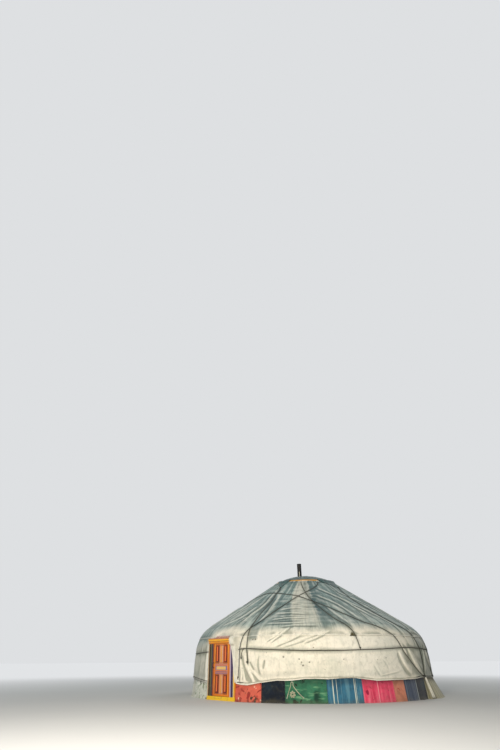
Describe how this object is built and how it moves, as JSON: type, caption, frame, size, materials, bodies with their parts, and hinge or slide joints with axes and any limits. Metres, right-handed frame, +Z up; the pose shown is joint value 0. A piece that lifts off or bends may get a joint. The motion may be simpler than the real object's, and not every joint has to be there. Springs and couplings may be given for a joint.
{
  "type": "yurt",
  "caption": "Round felt yurt with a painted wooden door, lattice wall, bent roof poles, domed crown, stove pipe, tied canvas cover and a patchwork skirt.",
  "frame": {"origin": "on the ground at the centre of the round wall", "axes": "+Z up; the door faces -Y; +X is to the right of a person who stands outside and looks at the door"},
  "size_m": [7.6905, 7.621, 3.8901],
  "materials": {
    "frame_yellow": "worn gloss paint",
    "frame_lilac": "worn gloss paint",
    "door_orange": "worn gloss paint",
    "door_red": "worn gloss paint",
    "dark_iron": "dull",
    "lath_wood": "oiled",
    "pole_paint": "satin paint",
    "crown_paint": "satin paint",
    "crown_cloth": "matt",
    "sheet_steel": "dull",
    "pipe_black": "sooty",
    "felt": "matt",
    "roll_cloth": "matt",
    "canvas": "matt",
    "canvas_pale": "matt",
    "rope": "matt",
    "skirt_white": "matt",
    "skirt_red": "matt",
    "skirt_navy": "matt",
    "skirt_green": "matt",
    "skirt_blue": "matt",
    "skirt_crimson": "matt",
    "skirt_peach": "matt"
  },
  "bodies": {
    "yurt": {"threshold": "frame_yellow", "lintel": "frame_yellow", "left_jamb": "frame_lilac", "right_jamb": "frame_lilac", "lattice_1": "lath_wood", "lattice_2": "lath_wood", "lattice_3": "lath_wood", "lattice_4": "lath_wood", "lattice_5": "lath_wood", "lattice_6": "lath_wood", "roof_poles_right": "pole_paint", "roof_poles_back": "pole_paint", "roof_poles_left": "pole_paint", "crown_ring": "crown_paint", "crown_spokes": "crown_paint", "crown_cover": "crown_cloth", "pipe_plate": "sheet_steel", "stove_pipe": "pipe_black", "wall_felt_right": "felt", "wall_felt_back_right": "felt", "wall_felt_back_left": "felt", "wall_felt_left": "felt", "door_felt": "felt", "door_roll": "roll_cloth", "roof_felt_right": "felt", "roof_felt_back_right": "felt", "roof_felt_back_left": "felt", "roof_felt_left": "felt", "wall_canvas_right": "canvas", "wall_canvas_left": "canvas", "roof_canvas": "canvas", "skirt_white": "skirt_white", "skirt_red": "skirt_red", "skirt_navy": "skirt_navy", "skirt_green": "skirt_green", "skirt_blue": "skirt_blue", "skirt_crimson": "skirt_crimson", "skirt_peach": "skirt_peach", "canvas_tail": "canvas_pale", "belly_rope": "rope", "hem_rope": "rope", "roof_ropes_front": "rope", "roof_ropes_back": "rope"},
    "door": {"door_leaf": "door_orange", "door_panels": "door_red", "door_handle": "dark_iron"}
  },
  "joints": [
    {"name": "door_hinge", "type": "hinge", "parent": "yurt", "child": "door", "pos_m": [0.333, -3.742, 0.7], "axis": [0, 0, 1], "range_deg": [0, 95]}
  ]
}
